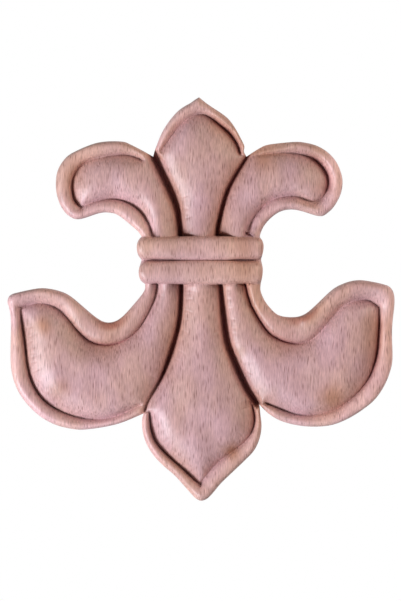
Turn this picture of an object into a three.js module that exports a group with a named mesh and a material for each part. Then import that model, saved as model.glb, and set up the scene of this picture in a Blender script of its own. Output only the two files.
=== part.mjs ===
// A fleur-de-lis applique, carved in relief from one board of beech, to be fixed flat on
// furniture, a door or a wall. It is a single piece of wood: three upper petals and three
// lower ones, gathered by a band of two half-round reeds. Each petal is a domed field inside
// a raised rim that follows its edge, and deep channels part the petals. The back is flat
// at y = 0, the carving faces -Y, +Z is up, and the origin is the centre of the back.

import * as THREE from 'three';

// Sizes in millimetres. All but the first two are depths, measured from the back.
const HEIGHT = 130; // upper tip to lower tip
const WIDTH = 124.7; // across the two lower petals
const SIDE = 6; // the sawn side, up to where the rim rounds over
const RIM_CREST = 8.6; // top of the rolled rims
const RIM_FOOT = 6.2; // the inner foot of their roll
const FIELD_EDGE = 5.6; // a petal's field where it starts, at its rim or channel
const FIELD_CREST = 10.8; // the middle of a broad field
const GROOVE_FLOOR = 4.6; // bottom of the groove between rim and field
const CHANNEL_FLOOR = 2.8; // bottom of the channels between petals
const REED_FOOT = 8.6; // where a reed's half round starts
const REED_CREST = 12; // top of the reeds, the full thickness of the board

// The pattern is drawn on squares, x to the right and y down, as a carver pricks it on to
// the board. These are the squares across and from tip to tip, and the square at the centre.
const ACROSS = 387.6;
const TALL = 404;
const CENTRE = { x: 201, y: 299 };

// Widths in squares.
const EDGE_ROUND = 7; // round-over at an edge that has no rim
const FIELD_REACH = 33; // from a field's edge to where it is at its full height
const RIM_TOP = 0.5; // where a rim is highest, as a share of the way in from its edge

// The outline clockwise from the left foot of the top petal, as smooth runs between corners.
// A petal also has the groove along the inside of its rim, with [share of the groove's
// length, share of its full depth] for how it fades.
const OUTLINE = [
  {
    petal: 'top',
    edge: [
      [[153, 156.2], [155, 149.5], [163.5, 129.5], [177.5, 111.3], [192.5, 101.5], [196.2, 98],
        [199, 97]],
      [[199, 97], [208.5, 104.5], [226, 116.5], [234.3, 126.5], [240.5, 137.5], [244.4, 146],
        [244, 151.5], [246.5, 156.2]],
    ],
    groove: [
      [[160.5, 152], [177.5, 128], [189, 118], [198.5, 113.8], [208, 116], [219, 124.3],
        [228.3, 132.3], [234.5, 140], [238.3, 147], [239.8, 152.5]],
    ],
    depth: [[0, 0.1], [0.2, 0.25], [0.4, 0.3], [0.55, 0.6], [0.65, 0.9], [0.8, 1], [1, 0.9]],
  },
  {
    petal: 'upper right',
    edge: [
      [[246.5, 156.2], [262.5, 146.5], [272, 143.9], [295, 141.7], [307, 142.8], [318, 146],
        [328.5, 152.6], [336.5, 161.8], [341, 172], [342.8, 182], [341, 193.5],
        [335.5, 204.5], [328.5, 212.3], [320, 215.8], [300, 210.2], [289, 209.2],
        [279, 212], [269.5, 219.3], [262.5, 228.5], [260, 236.8]],
    ],
    groove: [
      [[256, 155], [271, 153.5], [289, 152.8], [304, 155], [314.5, 159.5], [321.5, 166],
        [326.3, 173], [328.3, 181], [327.3, 189], [322, 199]],
      [[322, 199], [314, 202], [305, 199.5], [296, 196], [280, 197], [270, 201],
        [262, 208], [254, 217.5], [247.5, 231.5]],
    ],
    depth: [[0, 0.05], [0.15, 0.3], [0.22, 0.45], [0.3, 1], [0.47, 1], [0.53, 0.7],
      [0.58, 0.2], [0.65, 0.1], [0.75, 0.3], [0.87, 0.75], [1, 0.6]],
  },
  { edge: [[[260, 236.8], [262.6, 241.5], [263.6, 248], [261.2, 259.6]]] },
  { edge: [[[261.2, 259.6], [262.8, 271], [260.8, 284]]] },
  {
    petal: 'lower right',
    edge: [
      [[260.8, 284], [260.6, 290], [263.6, 298.5], [269.5, 307], [278, 314.8], [290, 317.2],
        [301, 316], [311, 310], [331.5, 290.8], [342.5, 284.2], [354, 280.6], [366, 280.6],
        [387.5, 285.5], [393.3, 292], [394.8, 303], [392.3, 330], [392.8, 358], [390.5, 371],
        [385, 385], [376, 398.5], [364, 409], [349, 418.4], [333, 424.8], [315, 426.8],
        [297, 425.3], [281, 421], [269, 414], [259.5, 404.8]],
    ],
    groove: [
      [[245, 283.5], [251, 305], [265.5, 329], [276.5, 338], [288, 342.5], [301, 343.5],
        [312, 339.5], [322, 330], [332, 318], [341, 308], [350, 302.5], [360, 300],
        [370, 300.8], [379.3, 307.5]],
      [[379.3, 307.5], [379.5, 322], [378.5, 342], [376.3, 358], [370.5, 375.5],
        [361.5, 389], [349, 401], [333, 411], [315, 415], [294.5, 414], [266, 403.5]],
    ],
    depth: [[0, 1], [0.2, 1], [0.26, 0.15], [0.4, 0.15], [0.48, 0.3], [0.5, 0.6], [0.54, 1],
      [0.63, 1], [0.7, 0.85], [0.77, 0.6], [0.84, 0.4], [0.88, 0.2], [0.95, 0.45], [1, 0.7]],
  },
  {
    petal: 'lower centre',
    edge: [
      [[259.5, 404.8], [260.5, 415], [261.6, 426], [259.8, 438], [254.5, 450], [245, 460.5],
        [222.5, 482], [213.5, 492.5], [207, 499], [201, 501]],
      [[201, 501], [194.5, 497.5], [176, 477], [164, 466.5], [153.5, 455.5], [145.8, 442.5],
        [142.4, 430], [142, 420], [143.5, 413.6]],
    ],
    groove: [
      [[250.5, 402], [254.5, 415], [252.8, 430], [244, 443], [232, 452], [220, 461],
        [210.5, 470], [200, 485]],
      [[200, 485], [192.5, 476.5], [179, 463.8], [167, 453], [157, 441.5], [152, 428],
        [150.3, 412]],
    ],
    depth: [[0, 0.9], [0.1, 0.8], [0.2, 0.5], [0.4, 0.45], [0.46, 0.3], [0.49, 0.1],
      [0.53, 1], [0.9, 1], [1, 0.6]],
  },
  {
    petal: 'lower left',
    edge: [
      [[143.5, 413.6], [117, 424.2], [86, 429.6], [69, 428.5], [53, 424], [38, 415],
        [25, 402], [16.5, 388.5], [11.8, 374], [10.2, 358], [10.7, 326], [9.7, 312],
        [7.2, 302]],
      [[7.2, 302], [8.4, 297], [13, 293.7], [36, 288.6], [48, 288.6], [60, 291.4],
        [71, 297], [93, 315.5], [104, 322], [114, 321.6], [124, 315], [141, 295.5],
        [145.3, 287.5], [145, 284]],
    ],
    groove: [
      [[141, 405], [115, 416.5], [95, 419.5], [75, 416.8], [56.5, 409.5], [42.5, 399.5],
        [32.3, 384], [27.3, 366.5], [24.6, 345], [21.8, 325], [19.7, 308.5]],
      [[19.7, 308.5], [30, 304.5], [43, 303.5], [57, 308.5], [67.5, 318.5], [78.5, 332],
        [90, 341.5], [104, 345], [117, 343.5], [129, 338], [139.5, 327.5], [148, 313],
        [154.5, 298], [157, 284]],
    ],
    depth: [[0, 0.1], [0.1, 0.15], [0.18, 0.5], [0.28, 1], [0.46, 1], [0.5, 0.5],
      [0.55, 0.15], [0.62, 0.55], [0.7, 1], [0.78, 1], [0.85, 0.7], [1, 0.9]],
  },
  { edge: [[[145, 284], [140.5, 280], [138.7, 271.5], [141.5, 260]]] },
  { edge: [[[141.5, 260], [138.2, 255], [136.8, 248], [138, 241], [141.5, 236.5]]] },
  {
    petal: 'upper left',
    edge: [
      [[141.5, 236.5], [137, 230.5], [119, 215.7], [109, 212.3], [99, 212.8], [79, 218.8],
        [69, 216], [61.5, 207.5], [57, 196], [55.6, 184], [57.3, 171], [63.5, 160],
        [73, 152.3], [97, 142.6], [120, 141.2], [131, 144.6], [153, 156.2]],
    ],
    groove: [
      [[152.5, 237], [149, 225.5], [141, 212.5], [130, 204], [118, 199.6], [106, 199.2],
        [93, 202], [80, 207.5]],
      [[80, 207.5], [75.3, 199.5], [73.3, 190], [73.7, 181], [77, 172.5], [84.5, 164.5],
        [93, 159.8], [104, 156.6], [116, 155], [129, 155], [142, 160]],
    ],
    depth: [[0, 0.8], [0.15, 0.75], [0.3, 0.6], [0.4, 0.3], [0.44, 0.1], [0.48, 1],
      [0.62, 1], [0.72, 0.7], [0.8, 0.45], [0.9, 0.6], [1, 0.1]],
  },
];

// Every groove is as wide all along. The channels between the petals' necks widen away from
// the band: half widths and depths are given as [share of the length, value].
const GROOVE_HALF = [[0, 3.2], [1, 3.2]];
const CHANNELS = [
  {
    run: [[153, 154], [174.5, 200.5], [179.5, 224.5], [180.3, 240]],
    half: [[0, 6.2], [0.5, 6.8], [1, 4]],
    depth: [[0, 1], [1, 1]],
  },
  {
    run: [[249.5, 153], [228.5, 188.5], [218.5, 224.5], [217, 240]],
    half: [[0, 3.2], [0.5, 4.4], [1, 3.8]],
    depth: [[0, 1], [1, 1]],
  },
  {
    run: [[181.2, 280], [178.5, 324.5], [163.5, 372.5], [148.5, 400], [144.5, 411]],
    half: [[0, 3.8], [0.5, 4.8], [0.8, 3], [1, 2.2]],
    depth: [[0, 1], [0.7, 1], [0.85, 0.5], [1, 0.6]],
  },
  {
    run: [[220, 280], [225.5, 332.5], [232.5, 356.5], [247, 388.5], [256.5, 403]],
    half: [[0, 3.8], [0.4, 6], [1, 6]],
    depth: [[0, 1], [1, 1]],
  },
];

// Short cuts where a neck meets the band, tapering from a channel's side or a groove.
const NICKS = [
  { run: [[183, 235.6], [198, 236.6]], half: [[0, 5], [1, 0.4]], depth: [[0, 0.9], [1, 0.2]] },
  { run: [[220, 235], [236, 236.6]], half: [[0, 5.5], [1, 0.4]], depth: [[0, 0.9], [1, 0.2]] },
  { run: [[246, 233.5], [254, 236]], half: [[0, 3], [1, 0.4]], depth: [[0, 0.8], [1, 0.2]] },
  { run: [[183, 284.4], [167, 284]], half: [[0, 2.6], [1, 1]], depth: [[0, 0.9], [1, 0.3]] },
  { run: [[222, 284.4], [207, 284]], half: [[0, 2.6], [1, 1]], depth: [[0, 0.9], [1, 0.3]] },
  { run: [[246, 285], [236, 284]], half: [[0, 3], [1, 1]], depth: [[0, 0.9], [1, 0.3]] },
];

// Where the upper right petal comes down to its edge with no rim, next to the top petal.
const BARE = {
  run: [[246.5, 156.2], [262.5, 146.5], [272, 143.9], [290, 142]],
  depth: [[0, 1], [0.6, 1], [1, 0]],
};

// The two reeds of the band: centre line from left to right, half width, and how square
// their left and right ends are (2 is round).
const REEDS = [
  { left: 147.2, right: 252.8, y: 248.2, half: 11.2, leftEnd: 2, rightEnd: 3 },
  { left: 149, right: 252.2, y: 272.2, half: 11.2, leftEnd: 2, rightEnd: 3 },
];

// Spacing of the surface's points, in squares.
const ALONG_EDGE = 5.2;
const ALONG_CUT = 5;
const ACROSS_FIELD = 8;
const ALONG_BANK = 1.5; // between the places of a cut that draw the field down
const SOFTENING = 1.5; // keeps that pull even between one place and the next

const quarterRound = (t) => Math.sqrt(1 - (1 - Math.min(Math.max(t, 0), 1)) ** 2);

function profile(stations, share) {
  const next = stations.findIndex(([at]) => at >= share);
  if (next <= 0) return stations.at(next)[1];
  const [[from, low], [to, high]] = stations.slice(next - 1, next + 1);
  return THREE.MathUtils.mapLinear(share, from, to, low, high);
}

// Even points along one run, in squares.
function sample(run, spacing) {
  const curve = new THREE.SplineCurve(run.map(([x, y]) => new THREE.Vector2(x, y)));
  return curve.getSpacedPoints(Math.max(2, Math.round(curve.getLength() / spacing)));
}

function sampleRuns(runs, spacing) {
  return runs.flatMap((run, i) => sample(run, spacing).slice(i === 0 ? 0 : 1));
}

// The nearest place of a line to a point: how far off it is, and its share of the length.
function nearest(line, point) {
  const segment = new THREE.Vector2();
  const offset = new THREE.Vector2();
  let best = { distance: Infinity, share: 0 };
  for (let i = 1; i < line.length; i += 1) {
    segment.subVectors(line[i], line[i - 1]);
    offset.subVectors(point, line[i - 1]);
    const along = THREE.MathUtils.clamp(offset.dot(segment) / segment.lengthSq(), 0, 1);
    const distance = offset.addScaledVector(segment, -along).length();
    if (distance < best.distance) best = { distance, share: (i - 1 + along) / (line.length - 1) };
  }
  return best;
}

function inside(polygon, point) {
  let within = false;
  polygon.forEach((a, i) => {
    const b = polygon.at(i - 1);
    const crosses = (a.y > point.y) !== (b.y > point.y);
    if (crosses && point.x < THREE.MathUtils.mapLinear(point.y, a.y, b.y, a.x, b.x)) {
      within = !within;
    }
  });
  return within;
}

const outline = OUTLINE.flatMap(({ edge }) => edge)
  .flatMap((run) => sample(run, ALONG_EDGE).slice(0, -1));
const closedOutline = [...outline, outline[0]];

const rims = OUTLINE.filter(({ petal }) => petal).map(({ edge, groove, depth }) => {
  const outer = sampleRuns(edge, ALONG_EDGE);
  const line = sampleRuns(groove, ALONG_CUT);
  const strip = [...outer, ...line.toReversed()];
  // A groove is listed in the direction of its edge, so the strip between them closes.
  return { outer, line, strip, half: GROOVE_HALF, depth, floor: GROOVE_FLOOR };
});

const trenches = [...CHANNELS, ...NICKS].map(({ run, half, depth }) => (
  { line: sample(run, ALONG_CUT), half, depth, floor: CHANNEL_FLOOR }
));

// A field's dome rises from every groove and channel around it. Each of their places pulls
// the surface down with the cube of its nearness, which gives a soft distance without ridges.
const banks = [
  ...OUTLINE.filter(({ petal }) => petal).map(({ groove, depth }) => ({ runs: groove, depth })),
  ...[...CHANNELS, BARE].map(({ run, depth }) => ({ runs: [run], depth })),
].flatMap(({ runs, depth }) => {
  const line = sampleRuns(runs, ALONG_BANK);
  return line.map((at, i) => ({ at, pull: ALONG_BANK * profile(depth, i / (line.length - 1)) }));
});

function domeDepth(point) {
  const pull = banks.reduce((sum, bank) => (
    sum + bank.pull / Math.hypot(bank.at.distanceTo(point), SOFTENING) ** 3
  ), 0);
  const short = 1 - Math.min(Math.sqrt(2 / pull) / FIELD_REACH, 1);
  const dome = FIELD_EDGE + (FIELD_CREST - FIELD_EDGE) * (1 - short ** 2);
  const edge = nearest(closedOutline, point).distance;
  return SIDE + (dome - SIDE) * quarterRound(edge / EDGE_ROUND);
}

// The rolled rim, from the outline in to the groove, where it fades into the field.
function rimDepth(rim, point, dome) {
  const edge = nearest(rim.outer, point).distance;
  const { distance, share } = nearest(rim.line, point);
  const across = edge / (edge + distance);
  const roll = across < RIM_TOP
    ? SIDE + (RIM_CREST - SIDE) * quarterRound(across / RIM_TOP)
    : RIM_FOOT + (RIM_CREST - RIM_FOOT) * quarterRound((1 - across) / (1 - RIM_TOP));
  return THREE.MathUtils.lerp(dome, roll, Math.sqrt(profile(rim.depth, share)));
}

// A cut with straight sides, down to its floor along the line.
function cutDepth(cut, point, surface) {
  const { distance, share } = nearest(cut.line, point);
  const half = profile(cut.half, share);
  if (distance >= half) return surface;
  const side = cut.floor + (RIM_CREST - cut.floor) * (distance / half);
  return THREE.MathUtils.lerp(surface, Math.min(surface, side), profile(cut.depth, share));
}

function reedDepth({ left, right, y, half, leftEnd, rightEnd }, point) {
  const beyondLeft = Math.max(left - point.x, 0);
  const beyondRight = Math.max(point.x - right, 0);
  const power = beyondRight > 0 ? rightEnd : leftEnd;
  const away = ((beyondLeft + beyondRight) ** power + Math.abs(point.y - y) ** power)
    ** (1 / power) / half;
  return away < 1 ? REED_FOOT + (REED_CREST - REED_FOOT) * Math.sqrt(1 - away ** 2) : 0;
}

// How far the carved front stands off the back, at a point of the pattern.
function depthAt(point) {
  const dome = domeDepth(point);
  const rim = rims.find(({ strip }) => inside(strip, point));
  let depth = rim ? rimDepth(rim, point, dome) : dome;
  [...rims, ...trenches].forEach((cut) => { depth = cutDepth(cut, point, depth); });
  if (point.y > REEDS[0].y && point.y < REEDS[1].y) depth = Math.min(depth, REED_FOOT);
  return Math.max(depth, ...REEDS.map((reed) => reedDepth(reed, point)));
}

// The surface's points, the sharpest features first, each kept clear of those before it.
const points = outline.map((point) => point.clone());

function addPoints(candidates, clearance) {
  candidates.forEach((point) => {
    const clear = points.every((other) => other.distanceTo(point) >= clearance)
      && nearest(closedOutline, point).distance >= clearance / 2;
    if (clear && inside(outline, point)) points.push(point);
  });
}

// Rows beside a line, each at a distance to its left that is a share of its half width.
function rowBeside({ line, half }, share) {
  return line.map((point, i) => {
    const along = new THREE.Vector2()
      .subVectors(line[Math.min(i + 1, line.length - 1)], line[Math.max(i - 1, 0)])
      .normalize();
    const offset = share * profile(half, i / (line.length - 1));
    return new THREE.Vector2(point.x + along.y * offset, point.y - along.x * offset);
  });
}

function rowInRim({ outer, line }, share) {
  return outer.map((point, i) => {
    const along = new THREE.Vector2()
      .subVectors(outer[Math.min(i + 1, outer.length - 1)], outer[Math.max(i - 1, 0)])
      .normalize();
    const offset = share * nearest(line, point).distance;
    return new THREE.Vector2(point.x - along.y * offset, point.y + along.x * offset);
  });
}

trenches.forEach((trench) => {
  addPoints(trench.line, 1.5);
  addPoints([...rowBeside(trench, 1), ...rowBeside(trench, -1)], 1.5);
});
rims.forEach((rim) => addPoints(rim.line, 2));
const reedSteps = Math.round((REEDS[0].right - REEDS[0].left) / ACROSS_FIELD);
function rowAcrossBand(y) {
  return Array.from({ length: reedSteps + 1 }, (_, i) => (
    new THREE.Vector2(THREE.MathUtils.lerp(REEDS[0].left, REEDS[0].right, i / reedSteps), y)
  ));
}

addPoints(rowAcrossBand((REEDS[0].y + REEDS[1].y) / 2), 0.5);
REEDS.forEach(({ left, right, y, half }) => {
  [0, 0.5, -0.5, 0.8, -0.8, 0.98, -0.98, 1.06, -1.06].forEach((share) => {
    addPoints(rowAcrossBand(y + share * half), 0.7);
  });
  [0.5, 0.8].forEach((share) => {
    [-60, -30, 0, 30, 60].forEach((degrees) => {
      const angle = THREE.MathUtils.degToRad(degrees);
      const offset = new THREE.Vector2(Math.cos(angle), Math.sin(angle))
        .multiplyScalar(share * half);
      addPoints([
        new THREE.Vector2(right + offset.x, y + offset.y),
        new THREE.Vector2(left - offset.x, y + offset.y),
      ], 1.5);
    });
  });
});
rims.forEach((rim) => addPoints(rowBeside(rim, -1), 2));
[0.12, 0.45, 0.8].forEach((share) => {
  rims.forEach((rim) => addPoints(rowInRim(rim, share), 1.6));
});

const rowStep = ACROSS_FIELD * Math.sqrt(0.75);
const rowCount = Math.ceil(TALL / rowStep);
for (let row = -rowCount; row <= rowCount; row += 1) {
  const shift = row % 2 ? ACROSS_FIELD / 2 : 0;
  const field = Array.from({ length: rowCount * 2 + 1 }, (_, i) => new THREE.Vector2(
    CENTRE.x + shift + (i - rowCount) * ACROSS_FIELD,
    CENTRE.y + row * rowStep,
  ));
  addPoints(field, ACROSS_FIELD * 0.6);
}

// Delaunay triangulation, adding the points one at a time.
function circumscribed(a, b, c, all) {
  const [p, q, r] = [all[a], all[b], all[c]];
  const turn = 2 * ((q.x - p.x) * (r.y - p.y) - (q.y - p.y) * (r.x - p.x));
  const q2 = q.distanceToSquared(p);
  const r2 = r.distanceToSquared(p);
  const x = ((r.y - p.y) * q2 - (q.y - p.y) * r2) / turn;
  const y = ((q.x - p.x) * r2 - (r.x - p.x) * q2) / turn;
  return { corners: [a, b, c], x: p.x + x, y: p.y + y, radiusSq: x * x + y * y };
}

function triangulate(flat) {
  const far = TALL * 30;
  const all = [
    ...flat,
    new THREE.Vector2(-far, -far),
    new THREE.Vector2(far, -far),
    new THREE.Vector2(0, far),
  ];
  const first = flat.length;
  let triangles = [circumscribed(first, first + 1, first + 2, all)];
  flat.forEach((point, index) => {
    const rim = new Map();
    triangles = triangles.filter((triangle) => {
      const apart = (point.x - triangle.x) ** 2 + (point.y - triangle.y) ** 2;
      if (apart >= triangle.radiusSq) return true;
      triangle.corners.forEach((a, i) => {
        const b = triangle.corners[(i + 1) % 3];
        if (!rim.delete(`${b} ${a}`)) rim.set(`${a} ${b}`, [a, b]);
      });
      return false;
    });
    rim.forEach(([a, b]) => triangles.push(circumscribed(a, b, index, all)));
  });
  return triangles.map(({ corners }) => corners)
    .filter((corners) => corners.every((corner) => corner < first));
}

// A triangle of the pattern, its corners put in the order that faces the carver.
function facing([a, b, c]) {
  const toB = points[b].clone().sub(points[a]);
  const toC = points[c].clone().sub(points[a]);
  return toB.cross(toC) < 0 ? [a, b, c] : [a, c, b];
}

// The carved front, inside the outline.
const front = triangulate(points).filter((corners) => {
  const middle = corners.reduce((sum, i) => sum.add(points[i]), new THREE.Vector2())
    .divideScalar(3);
  return inside(outline, middle);
}).map(facing);

// The edges that only one front triangle has run round the outline.
const single = new Map();
front.forEach((corners) => corners.forEach((a, i) => {
  const b = corners[(i + 1) % 3];
  if (!single.delete(`${b} ${a}`)) single.set(`${a} ${b}`, [a, b]);
}));
const nextRound = new Map(single.values());
const round = [nextRound.keys().next().value];
while (nextRound.get(round.at(-1)) !== round[0]) round.push(nextRound.get(round.at(-1)));

// The sawn side goes straight back from each of them to the flat back.
const backOf = new Map(round.map((corner, i) => [corner, points.length + i]));
const side = round.flatMap((a) => {
  const b = nextRound.get(a);
  return [[b, a, backOf.get(a)], [b, backOf.get(a), backOf.get(b)]];
});
const back = THREE.ShapeUtils.triangulateShape(round.map((i) => points[i]), [])
  .map((corners) => facing(corners.map((i) => round[i])))
  .map((corners) => corners.map((i) => backOf.get(i)).reverse());

const place = ({ x, y }, depth) => (
  [(x - CENTRE.x) * WIDTH / ACROSS, -depth, (CENTRE.y - y) * HEIGHT / TALL]
);
const geometry = new THREE.BufferGeometry();
geometry.setAttribute('position', new THREE.Float32BufferAttribute([
  ...points.flatMap((point) => place(point, depthAt(point))),
  ...round.flatMap((i) => place(points[i], 0)),
], 3));
geometry.setIndex([...front, ...side, ...back].flat());
geometry.computeVertexNormals();

const beech = new THREE.MeshStandardMaterial({ color: 0xc49c92, roughness: 0.55, metalness: 0 });
const carving = new THREE.Mesh(geometry, beech);
carving.name = 'fleur_de_lis';

const applique = new THREE.Group();
applique.add(carving);
export default applique;
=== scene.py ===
import math

import bpy
import numpy as np
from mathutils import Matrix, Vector


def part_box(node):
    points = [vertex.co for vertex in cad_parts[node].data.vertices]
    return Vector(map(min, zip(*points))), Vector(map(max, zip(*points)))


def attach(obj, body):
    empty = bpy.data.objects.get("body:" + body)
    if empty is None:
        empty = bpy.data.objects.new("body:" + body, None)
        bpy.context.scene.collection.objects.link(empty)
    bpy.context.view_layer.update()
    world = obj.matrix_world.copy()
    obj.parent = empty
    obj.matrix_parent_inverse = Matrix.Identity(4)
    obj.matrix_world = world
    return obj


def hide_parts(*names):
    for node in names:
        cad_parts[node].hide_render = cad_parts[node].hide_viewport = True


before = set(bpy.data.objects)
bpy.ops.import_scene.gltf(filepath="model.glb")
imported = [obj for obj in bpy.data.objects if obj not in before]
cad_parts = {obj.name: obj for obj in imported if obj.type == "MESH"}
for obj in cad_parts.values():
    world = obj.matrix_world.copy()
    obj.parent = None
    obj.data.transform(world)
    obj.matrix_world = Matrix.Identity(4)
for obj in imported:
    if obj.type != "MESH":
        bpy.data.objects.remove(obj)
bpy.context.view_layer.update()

# The blank: one board of beech, sawn to the outline, with the carving roughed out on its
# face. The solid that carries the part is copied, its face is cut free of its sides and
# back, and is divided finely enough for the carver's tools.
PIECE = "fleur_de_lis"
DIVIDED = 5
MM = 0.001
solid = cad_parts[PIECE]
bpy.ops.object.select_all(action="DESELECT")
solid.select_set(True)
bpy.context.view_layer.objects.active = solid
bpy.ops.object.duplicate()
carving = bpy.context.active_object
carving.name = PIECE + "_carving"
bpy.ops.mesh.customdata_custom_splitnormals_clear()
bpy.ops.object.mode_set(mode="EDIT")
bpy.ops.mesh.select_mode(type="VERT")
bpy.ops.mesh.select_all(action="SELECT")
bpy.ops.mesh.remove_doubles(threshold=0.001 * MM)
bpy.ops.mesh.select_all(action="DESELECT")
bpy.ops.object.mode_set(mode="OBJECT")
for vertex in carving.data.vertices:
    vertex.select = vertex.co.y > -0.01 * MM
bpy.ops.object.mode_set(mode="EDIT")
bpy.ops.mesh.delete(type="VERT")
bpy.ops.object.mode_set(mode="OBJECT")

# The pattern, pricked through on to the blank. It is drawn on squares, 387.6 across and
# 404 from tip to tip, x to the right and y down. The outline comes back off the blank.
SQUARES = np.array([387.6, 404.0])
CENTRE = np.array([201.0, 299.0])
CORNER = math.radians(45)
low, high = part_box(PIECE)
SQUARE = np.array([high.x - low.x, high.z - low.z]) / SQUARES


def places_of(mesh):
    found = np.empty(len(mesh.vertices) * 3)
    mesh.vertices.foreach_get("co", found)
    return found.reshape(-1, 3)


def on_pattern(places):
    return CENTRE + places[:, [0, 2]] * [1, -1] / SQUARE


def edge_loop(mesh):
    """The vertices round the face's edge in order, clockwise as the carver sees them."""
    sides = set()
    for polygon in mesh.polygons:
        corners = list(polygon.vertices)
        sides.update(zip(corners, corners[1:] + corners[:1]))
    before = {b: a for a, b in sides if (b, a) not in sides}
    loop = [min(before)]
    while before[loop[-1]] != loop[0]:
        loop.append(before[loop[-1]])
    return loop


def curve_through(points, steps):
    """A smooth curve through the points, each span of it in equal steps."""
    padded = np.vstack([points[:1], points, points[-1:]])
    before, start, end, after = padded[:-3], padded[1:-2], padded[2:-1], padded[3:]
    leave, arrive = (end - before) / 2, (after - start) / 2
    t = np.arange(steps)[:, None, None] / steps
    spans = ((2 * (start - end) + leave + arrive) * t**3
             + (3 * (end - start) - 2 * leave - arrive) * t**2 + leave * t + start)
    return np.vstack([spans.transpose(1, 0, 2).reshape(-1, 2), points[-1:]])


sawn = edge_loop(carving.data)
sawn_edge = on_pattern(places_of(carving.data))[sawn]
ahead = (np.roll(sawn_edge, -1, axis=0) - sawn_edge) @ [1, 1j]
turn = np.angle(ahead / np.roll(ahead, 1))
corners = np.flatnonzero(np.abs(turn) > CORNER)
first_place = np.array(carving.data.vertices[sawn[corners[0]]].co)
from_corner = np.roll(sawn_edge, -corners[0], axis=0)
from_corner = np.vstack([from_corner, from_corner[:1]])
stops = [*(corners - corners[0]), len(sawn)]
edge = np.vstack([
    curve_through(from_corner[start:stop + 1], DIVIDED)[:-1]
    for start, stop in zip(stops, stops[1:])
])

bpy.ops.object.mode_set(mode="EDIT")
bpy.ops.mesh.select_all(action="SELECT")
bpy.ops.mesh.subdivide(number_cuts=DIVIDED - 1, smoothness=0)
bpy.ops.object.mode_set(mode="OBJECT")
round_edge = edge_loop(carving.data)
off_first = np.linalg.norm(places_of(carving.data)[round_edge] - first_place, axis=1)
round_edge = np.roll(round_edge, -int(np.argmin(off_first)))
places = on_pattern(places_of(carving.data))
places[round_edge] = edge

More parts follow.
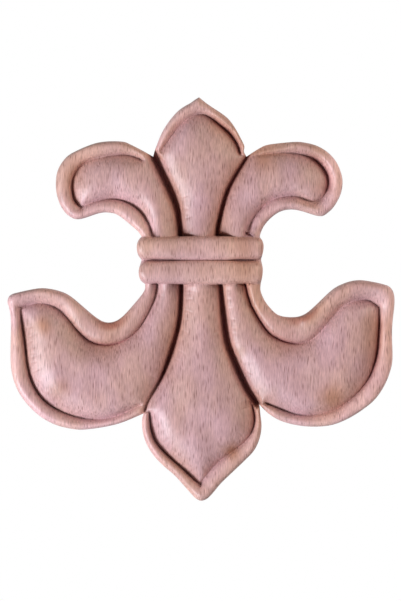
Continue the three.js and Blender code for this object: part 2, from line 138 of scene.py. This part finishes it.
# The rims. Each petal has a rolled rim along its free edge, and inside it a groove cut
# with a V tool. Depths are in millimetres from the back, widths in squares of the pattern.
# How deep and wide a groove is and how much painted highlight its rim takes run along it, as
# [shares of its length], [values there]. In the bays between the petals a rim's crest lies
# further in.
SIDE = 6
RIM_CREST = 8.6
RIM_FOOT = 6.2
RIM_TOP = 0.5
RIM_TOP_IN_BAY = 0.74
BAYS = [(112, 322), (304, 315)]
BAY_REACH = 22
GROOVE_FLOOR = 4.6
PETALS = [
    {
        "from": (153, 156.2), "to": (246.5, 156.2),
        "groove": [
            [(160.5, 152), (177.5, 128), (189, 118), (198.5, 113.8), (208, 116), (219, 124.3),
             (228.3, 132.3), (234.5, 140), (238.3, 147), (239.8, 152.5)],
        ],
        "deep": ([0, 0.4, 0.52, 0.65, 0.8, 1], [0.06, 0.15, 0.45, 0.9, 1, 0.8]),
        "half": ([0, 0.5, 0.65, 1], [2.6, 3, 5, 5.6]),
        "painted_highlight": ([0, 0.3, 0.5, 1], [0.5, 0.5, 0.2, 0.15]),
    },
    {
        "from": (246.5, 156.2), "to": (260, 236.8),
        "groove": [
            [(256, 155), (271, 153.5), (289, 152.8), (304, 155), (314.5, 159.5), (321.5, 166),
             (326.3, 173), (328.3, 181), (327.3, 189), (322, 199)],
            [(322, 199), (314, 202), (305, 199.5), (296, 196), (280, 197), (270, 201),
             (262, 208), (254, 217.5), (247.5, 231.5)],
        ],
        "deep": ([0, 0.15, 0.22, 0.3, 0.47, 0.53, 0.58, 0.65, 0.75, 0.87, 1],
                 [0.05, 0.15, 0.35, 0.9, 0.85, 0.3, 0.1, 0.1, 0.2, 0.5, 0.12]),
        "half": ([0, 0.15, 0.32, 0.48, 0.55, 1], [3, 3.8, 6.8, 6.4, 3.4, 3]),
        "painted_highlight": ([0.27, 0.36, 0.5, 0.6], [0, 1, 1, 0.2]),
    },
    {
        "from": (260.8, 284), "to": (259.5, 404.8),
        "groove": [
            [(245, 283.5), (251, 305), (265.5, 329), (276.5, 338), (288, 342.5), (301, 343.5),
             (312, 339.5), (322, 330), (332, 318), (341, 308), (350, 302.5), (360, 300),
             (370, 300.8), (379.3, 307.5)],
            [(379.3, 307.5), (379.5, 322), (378.5, 342), (376.3, 358), (370.5, 375.5),
             (361.5, 389), (349, 401), (333, 411), (315, 415), (294.5, 414), (266, 403.5)],
        ],
        "deep": ([0, 0.2, 0.3, 0.4, 0.48, 0.5, 0.54, 0.63, 0.7, 0.77, 0.84, 0.88, 0.95, 1],
                 [1, 0.9, 0.15, 0.12, 0.25, 0.5, 1, 1, 0.8, 0.5, 0.35, 0.15, 0.3, 0.5]),
        "half": ([0, 0.2, 0.3, 0.45, 0.52, 0.62, 0.7, 1], [3.4, 3.6, 3, 3, 4, 4, 3, 3]),
        "painted_highlight": ([0.46, 0.52, 0.74, 0.85], [0.1, 1, 0.8, 0.35]),
    },
    {
        "from": (259.5, 404.8), "to": (143.5, 413.6),
        "groove": [
            [(250.5, 402), (254.5, 415), (252.8, 430), (244, 443), (232, 452), (220, 461),
             (210.5, 470), (200, 485)],
            [(200, 485), (191.6, 477.4), (178, 464.9), (165.9, 454), (155.8, 442.3),
             (150.8, 428.4), (149.3, 412)],
        ],
        "deep": ([0, 0.1, 0.2, 0.4, 0.46, 0.49, 0.55, 0.9, 1],
                 [0.9, 0.8, 0.5, 0.45, 0.3, 0.1, 0.7, 0.75, 0.2]),
        "half": ([0, 0.25, 0.5, 1], [3.6, 3.8, 3.4, 3.2]),
        "painted_highlight": ([0, 0.3, 0.6, 1], [0.3, 0.3, 0.15, 0.5]),
    },
    {
        "from": (143.5, 413.6), "to": (145, 284),
        "groove": [
            [(141, 405), (115, 416.5), (95, 419.5), (75, 416.8), (56.5, 409.5), (42.5, 399.5),
             (32.3, 384), (27.3, 366.5), (24.6, 345), (21.8, 325), (19.7, 308.5)],
            [(19.7, 308.5), (30, 304.5), (43, 303.5), (57, 308.5), (67.5, 318.5),
             (78.5, 332), (90, 341.5), (104, 345), (117, 343.5), (129, 338), (139.5, 327.5),
             (148, 313), (154.5, 298), (157, 284)],
        ],
        "deep": ([0, 0.1, 0.18, 0.28, 0.46, 0.5, 0.55, 0.62, 0.7, 0.78, 0.85, 1],
                 [0.12, 0.15, 0.3, 0.65, 0.75, 0.45, 0.15, 0.45, 0.8, 0.9, 0.65, 0.5]),
        "half": ([0, 0.5, 0.6, 1], [3.2, 3.4, 2.6, 2.6]),
        "painted_highlight": ([0, 0.25, 0.5, 0.6], [0.3, 0.5, 0.4, 0.1]),
    },
    {
        "from": (141.5, 236.5), "to": (153, 156.2),
        "groove": [
            [(152.5, 237), (149, 225.5), (141, 212.5), (130, 204), (118, 199.6), (106, 199.2),
             (93, 202), (80, 207.5)],
            [(80, 207.5), (74.3, 199.8), (72, 190), (72.2, 181), (75.4, 172), (83.4, 163.4),
             (92.6, 159.2), (104, 156.4), (116, 155), (129, 155), (142, 160)],
        ],
        "deep": ([0, 0.06, 0.12, 0.3, 0.4, 0.44, 0.48, 0.62, 0.72, 0.8, 0.9, 1],
                 [0.06, 0.15, 0.6, 0.5, 0.2, 0.1, 0.85, 0.85, 0.6, 0.3, 0.45, 0.1]),
        "half": ([0, 1], [3, 3]),
        "painted_highlight": ([0, 0.4, 0.5, 1], [0.45, 0.45, 0.2, 0.1]),
    },
]


def line_through(runs, steps):
    """Close points along smooth runs that meet at corners."""
    spans = [curve_through(np.array(run, float), steps) for run in runs]
    return np.vstack([spans[0], *[span[1:] for span in spans[1:]]])


def stretch_of_edge(start, end):
    """The sawn edge from one corner of the pattern on to the next."""
    first, last = [int(np.argmin(np.hypot(*(edge - at).T))) for at in (start, end)]
    return edge[first:last + 1] if first < last else np.vstack([edge[first:], edge[:last + 1]])


def nearest(line, places):
    """How far each place is from the line, and the share of the line's length it is at."""
    start, along = line[:-1], np.diff(line, axis=0)
    reached = np.append(0, np.cumsum(np.hypot(*along.T)))
    distance, share = np.empty(len(places)), np.empty(len(places))
    for part in np.array_split(np.arange(len(places)), len(places) // 2000 + 1):
        offset = places[part, None] - start
        t = np.clip((offset * along).sum(2) / (along**2).sum(1), 0, 1)
        apart = np.linalg.norm(offset - t[..., None] * along, axis=2)
        best = apart.argmin(1), np.arange(len(part))
        distance[part] = apart[best[1], best[0]]
        share[part] = np.interp(best[0] + t[best[1], best[0]], np.arange(len(reached)), reached)
    return distance, share / reached[-1]


def inside(polygon, places):
    """Which places lie inside a closed line."""
    within = np.zeros(len(places), bool)
    for a, b in zip(polygon, np.roll(polygon, 1, axis=0)):
        level = (a[1] > places[:, 1]) != (b[1] > places[:, 1])
        slope = (b[0] - a[0]) / (b[1] - a[1]) if b[1] != a[1] else 0
        within ^= level & (places[:, 0] < a[0] + slope * (places[:, 1] - a[1]))
    return within


def quarter_round(t):
    return np.sqrt(1 - (1 - np.clip(t, 0, 1)) ** 2)


def mix(a, b, share):
    return a + (b - a) * share


for petal in PETALS:
    petal["line"] = line_through(petal["groove"], 6)
    outer = stretch_of_edge(petal["from"], petal["to"])
    petal["rim"] = inside(np.vstack([outer, petal["line"][::-1]]), places)
    petal["apart"], petal["share"] = nearest(petal["line"], places)

# The channels that part the petals' necks, cut deep with a narrow gouge, and the short
# stop cuts where a neck runs in under the band.
CHANNEL_FLOOR = 2.8
CHANNELS = [
    {
        "cut": [(153, 154), (174.5, 200.5), (179.5, 224.5), (180.3, 240)],
        "half": ([0, 0.5, 1], [6.4, 7, 4.2]),
        "deep": ([0, 1], [1, 1]),
    },
    {
        "cut": [(249.5, 153), (228.5, 188.5), (218.5, 224.5), (217, 240)],
        "half": ([0, 0.5, 1], [3.2, 4.4, 3.8]),
        "deep": ([0, 1], [1, 1]),
    },
    {
        "cut": [(181.2, 280), (178.5, 324.5), (163.5, 372.5), (148.5, 400), (144.5, 411)],
        "half": ([0, 0.5, 0.8, 1], [3.8, 5, 3, 2.2]),
        "deep": ([0, 0.7, 0.85, 1], [1, 1, 0.5, 0.3]),
    },
    {
        "cut": [(220, 280), (225.5, 332.5), (232.5, 356.5), (247, 388.5), (256.5, 403)],
        "half": ([0, 0.4, 1], [3.8, 6.2, 6.2]),
        "deep": ([0, 1], [1, 1]),
    },
]
NICKS = [
    {"cut": [(183, 235.6), (194, 236.6)], "half": ([0, 1], [4, 1]), "deep": ([0, 1], [0.7, 0.1])},
    {"cut": [(220, 235), (232, 236.6)], "half": ([0, 1], [5, 1]), "deep": ([0, 1], [0.8, 0.1])},
    {"cut": [(246, 233.5), (252, 236)], "half": ([0, 1], [2.4, 1]), "deep": ([0, 1], [0.5, 0.1])},
    {"cut": [(182, 284.4), (174, 284)], "half": ([0, 1], [2, 1]), "deep": ([0, 1], [0.5, 0.1])},
    {"cut": [(221, 284.4), (213, 284)], "half": ([0, 1], [2, 1]), "deep": ([0, 1], [0.5, 0.1])},
    {"cut": [(245, 285), (239, 284)], "half": ([0, 1], [2.4, 1]), "deep": ([0, 1], [0.5, 0.1])},
]
for trench in CHANNELS + NICKS:
    trench["line"] = line_through([trench["cut"]], 6)
    trench["apart"], trench["share"] = nearest(trench["line"], places)

# The fields. Each rises as a dome from the grooves and channels round it, with no ridge
# along its middle: every point of those lines pulls the face down by the cube of its
# nearness, which makes a soft distance of the sum. The bare edge is where the upper right
# petal comes down to its outline with no rim.
FIELD_EDGE = 5.6
FIELD_CREST = 10.8
FIELD_REACH = 33
EDGE_ROUND = 7
SOFT = 1.5
from_edge, _ = nearest(np.vstack([edge, edge[:1]]), places)
BARE = {
    "cut": [(246.5, 156.2), (262.5, 146.5), (272, 143.9), (290, 142)],
    "deep": ([0, 0.6, 1], [1, 1, 0]),
}
pull = np.zeros(len(places))
for bank in [*PETALS, *CHANNELS, BARE]:
    line = line_through(bank.get("groove") or [bank["cut"]], 20)
    step = np.hypot(*np.diff(line, axis=0).T)
    share = (np.cumsum(step) - step / 2) / step.sum()
    weight = step * np.interp(share, *bank["deep"])
    for at, pulling in zip((line[1:] + line[:-1]) / 2, weight):
        pull += pulling / (((places - at) ** 2).sum(1) + SOFT**2) ** 1.5
rise = 1 - (1 - np.clip(np.sqrt(2 / pull) / FIELD_REACH, 0, 1)) ** 2
dome = mix(FIELD_EDGE, FIELD_CREST, rise)
dome = mix(SIDE, dome, quarter_round(from_edge / EDGE_ROUND))

# The cutting itself: the rims are rolled, deeper where their groove is deeper, and then the
# grooves, channels and stop cuts are taken out of rims and fields alike.
EASED = 0.3
WALL_ON_FIELD = 0.75


def lower_of(a, b):
    """The lower of two depths, with the arris between them eased by sanding."""
    share = np.clip(0.5 + (b - a) / (2 * EASED), 0, 1)
    return mix(b, a, share) - EASED * share * (1 - share)


def out_from(cut):
    """How far each place is out of the cut, and how deep the cut is there. A groove's wall
    is steeper on the field's side than on its rim's."""
    half, deep = [np.interp(cut["share"], *cut[key]) for key in ("half", "deep")]
    if "rim" in cut:
        half = np.where(cut["rim"], half, half * WALL_ON_FIELD)
    return cut["apart"] / half, deep


def cut_into(face, cut, floor, shape):
    """The face with a cut taken out of it, down to its floor along the cut's line."""
    out, deep = out_from(cut)
    side = floor + (RIM_CREST - floor) * out**shape
    return mix(face, lower_of(face, side), deep)


in_bay = sum(np.exp(-((places - bay) ** 2).sum(1) / BAY_REACH**2) for bay in BAYS)
top = mix(RIM_TOP, RIM_TOP_IN_BAY, in_bay)
face = dome.copy()
for petal in PETALS:
    petal["across"] = across = from_edge / (from_edge + petal["apart"])
    outside = mix(SIDE, RIM_CREST, quarter_round(across / top))
    within = mix(RIM_FOOT, RIM_CREST, quarter_round((1 - across) / (1 - top)))
    roll = np.where(across < top, outside, within)
    rolled = mix(dome, roll, np.interp(petal["share"], *petal["deep"]) ** 0.7)
    face = np.where(petal["rim"], rolled, face)
for petal in PETALS:
    face = cut_into(face, petal, GROOVE_FLOOR, 1)
for cut in CHANNELS:
    face = cut_into(face, cut, CHANNEL_FLOOR, 1.5)
for cut in NICKS:
    face = cut_into(face, cut, CHANNEL_FLOOR, 1)

# The tones that lie over the grain: painted shade darkening the cuts, a brown painted shade
# beside them, on the rims' outer slopes in the bays and in spots, a tan tone on the rims, and
# painted highlights on the rims and in patches. They are set to the photograph's tones.
HAZE_REACH = 12
SHADE_SPOTS = [((262, 158), 16), ((160, 157), 8), ((42, 326), 11), ((58, 390), 12),
           ((334, 398), 15), ((240, 352), 8), ((232, 452), 9)]
HIGHLIGHT_PATCHES = [((118, 196), 26, 0.3), ((316, 190), 11, 0.4), ((205, 195), 18, 0.25),
          ((150, 226), 9, 0.35), ((206, 425), 16, 0.15)]
cut_shade, brown_shade, tan_and_shade, painted_highlight = [np.zeros(len(places)) for _ in range(4)]
# Painted shade in every cut: darker inside it the deeper the cut is, and browner beside it.
for cut in PETALS + CHANNELS + NICKS:
    out, deep = out_from(cut)
    cut_shade = np.maximum(cut_shade, deep**1.5 * (1 - np.clip(out, 0, 1)))
    brown_shade = np.maximum(brown_shade, deep**1.5 * np.exp(-cut["apart"] / HAZE_REACH))
for petal in PETALS:
    on_rim = np.where(petal["rim"], 1 - petal["across"] ** 4, 0)
    # Painted shade on the rims' outer slopes in the bays, which turn away from the light.
    in_shade = on_rim * in_bay * np.clip(1.6 - 2.6 * petal["across"], 0, 1)
    cut_shade = np.maximum(cut_shade, 0.65 * in_shade)
    brown_shade = np.maximum(brown_shade, in_shade)
    # A tan tone along the rims, strongest at their outer edge.
    tan_and_shade = np.maximum(tan_and_shade, on_rim)
    # Painted highlight along the rims, as much as each petal's table gives.
    painted_highlight = np.maximum(painted_highlight, on_rim * np.interp(petal["share"], *petal["painted_highlight"]))
# Spots of painted shade.
for at, reach in SHADE_SPOTS:
    shade_spot = np.exp(-((places - at) ** 2).sum(1) / reach**2)
    brown_shade = np.maximum(brown_shade, shade_spot)
# Patches of painted highlight.
for at, reach, share in HIGHLIGHT_PATCHES:
    painted_highlight = np.maximum(painted_highlight, share * np.exp(-((places - at) ** 2).sum(1) / reach**2))

# The band: two half-round reeds across the necks, with rounded ends on the left and
# squarer ones on the right. The gap between them is shallow in the middle. Their right part
# is browner with painted shade, and their upper half warmer with painted shade.
REED_FOOT = 8.6
GAP_FOOT = 10
REED_CREST = 12
REED_ROUND = 2.5
REEDS = [
    {"left": 147.2, "right": 252.8, "y": 248.2, "square_end": 3},
    {"left": 149, "right": 252.2, "y": 272.2, "square_end": 3},
]
REED_HALF = ([147, 158, 185, 228, 238, 252], [11.2, 11, 12, 12, 11, 11.2])
GAP_MIDDLE, GAP_REACH = 203, 22
REED_SHADE, REED_SHADE_AT, REED_SHADE_REACH = 0.6, 244, 13
x, y = places.T
between = (y > REEDS[0]["y"]) & (y < REEDS[1]["y"])
shallow = between * np.exp(-(((x - GAP_MIDDLE) / GAP_REACH) ** 2))
foot = mix(REED_FOOT, GAP_FOOT, shallow)
face = np.where(between, np.minimum(face, foot), face)
reed_half = np.interp(x, *REED_HALF)
reed_shade = REED_SHADE * np.exp(-(((x - REED_SHADE_AT) / REED_SHADE_REACH) ** 2))
for reed in REEDS:
    past = np.maximum(reed["left"] - x, 0) + np.maximum(x - reed["right"], 0)
    power = np.where(x > reed["right"], reed["square_end"], 2)
    apart = (past**power + np.abs(y - reed["y"]) ** power) ** (1 / power) / reed_half
    covered = apart < 1
    crown = np.where(covered, 1 - apart**REED_ROUND, 0) ** (1 / REED_ROUND)
    round_top = mix(foot, REED_CREST, crown)
    face = np.where(covered, np.maximum(face, round_top), face)
    # On a reed the cuts' painted shade and the painted highlight are cleared; its right part
    # takes a brown painted shade and its upper half a warm painted shade.
    cut_shade, painted_highlight = [np.where(covered, 0, trace) for trace in (cut_shade, painted_highlight)]
    brown_shade = np.where(covered, reed_shade, brown_shade)
    tan_and_shade = np.where(covered, np.clip(0.9 - (y - reed["y"]) / 20, 0, 1), tan_and_shade)

# The hand's unevenness: the slow waves that a gouge and sandpaper take off the whole face.
# The sandpaper also takes the sharpness off the cuts.
UNEVEN = 0.07
SANDED = 2
WAVES = [(5.3, 13.1, 0.4), (-8.9, 6.7, 1.9), (14.3, -9.7, 3.1), (4.1, -21, 5.2)]
wander = sum(np.sin(x / across + y / down + start) for across, down, start in WAVES)
face += UNEVEN * (wander - wander.max())

carved = np.column_stack([
    (places[:, 0] - CENTRE[0]) * SQUARE[0],
    -face * MM,
    (CENTRE[1] - places[:, 1]) * SQUARE[1],
])
carving.data.vertices.foreach_set("co", carved.ravel())
for vertex in carving.data.vertices:
    vertex.select = True
for index in round_edge:
    carving.data.vertices[index].select = False
bpy.ops.object.mode_set(mode="EDIT")
bpy.ops.mesh.vertices_smooth(factor=0.5, repeat=SANDED, xaxis=False, zaxis=False)
bpy.ops.object.mode_set(mode="OBJECT")

# The sawn side and the flat back. The tones stay on the face, whose places come first in
# the mesh.
bpy.ops.object.mode_set(mode="EDIT")
bpy.ops.mesh.select_mode(type="EDGE")
bpy.ops.mesh.select_all(action="DESELECT")
bpy.ops.mesh.select_non_manifold(extend=False, use_wire=False, use_multi_face=False,
                                 use_non_contiguous=False, use_verts=False)
bpy.ops.mesh.extrude_edges_move()
bpy.ops.transform.resize(value=(1, 0, 1), center_override=(0, 0, 0))
bpy.ops.mesh.edge_face_add()
bpy.ops.mesh.quads_convert_to_tris()
bpy.ops.mesh.select_all(action="SELECT")
bpy.ops.mesh.normals_make_consistent(inside=False)
bpy.ops.object.mode_set(mode="OBJECT")
bpy.ops.object.shade_smooth_by_angle(angle=math.radians(50))
# The painted shade, the tan tone and the painted highlight are kept on the face's points.
for name, trace in (("cut_shade", cut_shade), ("brown_shade", brown_shade), ("tan_and_shade", tan_and_shade), ("painted_highlight", painted_highlight)):
    values = np.zeros(len(carving.data.vertices))
    values[:len(trace)] = trace
    carving.data.attributes.new(name, "FLOAT", "POINT").data.foreach_set("value", values)

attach(carving, "root")
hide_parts(PIECE)

# The wood: steamed beech, pinkish brown, with its fibres upright. Broad bands of tone run
# with the grain, fine fibres streak it, and short dark ray flecks lie all over it.
beech = bpy.data.materials.new("beech")
beech.use_nodes = True
nodes, links = beech.node_tree.nodes, beech.node_tree.links
shader = nodes["Principled BSDF"]
shader.inputs["Roughness"].default_value = 0.45
shader.inputs["Specular IOR Level"].default_value = 0.5
place = nodes.new("ShaderNodeTexCoord").outputs["Object"]


def grain(across, along):
    """Places in the wood, measured in spans of a pattern across and along the grain."""
    scaling = nodes.new("ShaderNodeMapping")
    scaling.inputs["Scale"].default_value = (
        1 / (across * MM), 1 / (3 * across * MM), 1 / (along * MM))
    links.new(place, scaling.inputs["Vector"])
    return scaling.outputs["Vector"]


def noise(vector, detail):
    pattern = nodes.new("ShaderNodeTexNoise")
    pattern.inputs["Scale"].default_value = 1
    pattern.inputs["Detail"].default_value = detail
    links.new(vector, pattern.inputs["Vector"])
    return pattern.outputs["Fac"]


def ramp(value, *stops):
    """The value turned into colours or levels at its stops."""
    steps = nodes.new("ShaderNodeValToRGB")
    links.new(value, steps.inputs["Fac"])
    while len(steps.color_ramp.elements) < len(stops):
        steps.color_ramp.elements.new(0.5)
    for element, (position, colour) in zip(steps.color_ramp.elements, stops):
        element.position = position
        element.color = (*colour, 1)
    return steps.outputs["Color"]


def blend(kind, factor, below, above):
    mixing = nodes.new("ShaderNodeMix")
    mixing.data_type = "RGBA"
    mixing.blend_type = kind
    for socket, value in zip((0, 6, 7), (factor, below, above)):
        if isinstance(value, bpy.types.NodeSocket):
            links.new(value, mixing.inputs[socket])
        else:
            mixing.inputs[socket].default_value = value
    return mixing.outputs[2]


bands = ramp(noise(grain(7, 50), 3),
             (0.3, (0.90, 0.90, 0.89)), (0.7, (1.05, 1.05, 1.05)))
clouds = ramp(noise(grain(11, 20), 2),
              (0.38, (0.612, 0.378, 0.396)), (0.62, (0.637, 0.394, 0.360)))
fibres = ramp(noise(grain(0.28, 2.6), 2),
              (0.25, (0.66, 0.65, 0.65)), (0.75, (1.08, 1.08, 1.08)))
cells = nodes.new("ShaderNodeTexVoronoi")
cells.inputs["Scale"].default_value = 1
links.new(grain(0.65, 4.6), cells.inputs["Vector"])
flecks = ramp(cells.outputs["Distance"],
              (0.1, (0.60, 0.53, 0.52)), (0.34, (1.0, 1.0, 1.0)))
colour = blend("MULTIPLY", 1, bands, clouds)
colour = blend("MULTIPLY", 1, colour, fibres)
colour = blend("MULTIPLY", 1, colour, flecks)


def trace_of(name):
    trace = nodes.new("ShaderNodeAttribute")
    trace.attribute_name = name
    return trace.outputs["Fac"]


# Over the wood's colour: painted shade in and beside the cuts, a tan tone, and painted highlight.
for tone_over_grain in (
    ramp(trace_of("cut_shade"), (0.3, (1.0, 1.0, 1.0)), (1.0, (0.72, 0.42, 0.56))),
    ramp(trace_of("brown_shade"), (0.1, (1.0, 1.0, 1.0)), (1.0, (0.80, 0.66, 0.50))),
    ramp(trace_of("tan_and_shade"), (0, (1.0, 1.0, 1.0)), (1.0, (1.04, 1.03, 0.92))),
    ramp(trace_of("painted_highlight"), (0, (1.0, 1.0, 1.0)), (1.0, (1.42, 1.50, 1.76))),
):
    colour = blend("MULTIPLY", 1, colour, tone_over_grain)
links.new(colour, shader.inputs["Base Color"])
bump = nodes.new("ShaderNodeBump")
bump.inputs["Distance"].default_value = 0.06 * MM
links.new(noise(grain(0.3, 6), 2), bump.inputs["Height"])
links.new(bump.outputs["Normal"], shader.inputs["Normal"])
carving.data.materials.clear()
carving.data.materials.append(beech)

# The studio: a pale floor, a soft window from the lower left and a dim warm fill, before
# a white sweep.
bpy.ops.mesh.primitive_plane_add(size=3, location=(0, 0, -0.85))
floor = bpy.context.active_object
floor.name = "floor"
paint = bpy.data.materials.new("floor_paint")
paint.use_nodes = True
pale = (0.85, 0.85, 0.85, 1)
paint.node_tree.nodes["Principled BSDF"].inputs["Base Color"].default_value = pale
floor.data.materials.append(paint)


def light(name, at, size, watts, colour):
    bpy.ops.object.light_add(type="AREA", location=at)
    lamp = bpy.context.active_object
    lamp.name = name
    lamp.data.size = size
    lamp.data.energy = watts
    lamp.data.color = colour
    lamp.rotation_euler = (-Vector(at)).to_track_quat("-Z", "Y").to_euler()


light("window", (-0.608, -0.436, -0.284), 0.25, 8.6, (0.91, 0.93, 1.0))
light("fill", (0.6, -0.375, 0.374), 0.5, 4.4, (1.0, 0.86, 0.74))

world = bpy.data.worlds.new("sweep")
world.use_nodes = True
bpy.context.scene.world = world
nodes, links = world.node_tree.nodes, world.node_tree.links
glow = nodes["Background"]
glow.inputs["Color"].default_value = (1, 1, 1, 1)
direction = nodes.new("ShaderNodeSeparateXYZ")
links.new(nodes.new("ShaderNodeTexCoord").outputs["Generated"], direction.inputs["Vector"])
behind = nodes.new("ShaderNodeMath")
behind.operation = "GREATER_THAN"
links.new(direction.outputs["Y"], behind.inputs[0])
behind.inputs[1].default_value = 0
amount = nodes.new("ShaderNodeMapRange")
links.new(behind.outputs["Value"], amount.inputs["Value"])
amount.inputs["To Min"].default_value = 0.1
amount.inputs["To Max"].default_value = 0.5
links.new(amount.outputs["Result"], glow.inputs["Strength"])
white = nodes.new("ShaderNodeBackground")
white.inputs["Color"].default_value = (1, 1, 1, 1)
white.inputs["Strength"].default_value = 1
path = nodes.new("ShaderNodeLightPath")
either = nodes.new("ShaderNodeMixShader")
links.new(path.outputs["Is Camera Ray"], either.inputs["Fac"])
links.new(glow.outputs["Background"], either.inputs[1])
links.new(white.outputs["Background"], either.inputs[2])
links.new(either.outputs["Shader"], nodes["World Output"].inputs["Surface"])
bpy.context.scene.view_settings.view_transform = "Standard"

# The camera: a long lens, square to the carving and far enough off for its depth hardly to
# show. One square of the pattern fills one pixel at the height of the fields.
PHOTO = (401, 601)
AWAY = 1.6
FACE_AT = 0.008
bpy.ops.object.camera_add(location=(0, -AWAY, 0), rotation=(math.radians(90), 0, 0))
camera = bpy.context.active_object
camera.data.sensor_fit = "VERTICAL"
camera.data.sensor_height = 24
view_high = PHOTO[1] * SQUARE[1]
camera.data.lens = camera.data.sensor_height * (AWAY - FACE_AT) / view_high
camera.data.shift_y = -(PHOTO[1] / 2 - CENTRE[1]) / PHOTO[1]
camera.data.shift_x = (PHOTO[0] / 2 - CENTRE[0]) / PHOTO[1]
camera.data.clip_start = 0.05
bpy.context.scene.camera = camera
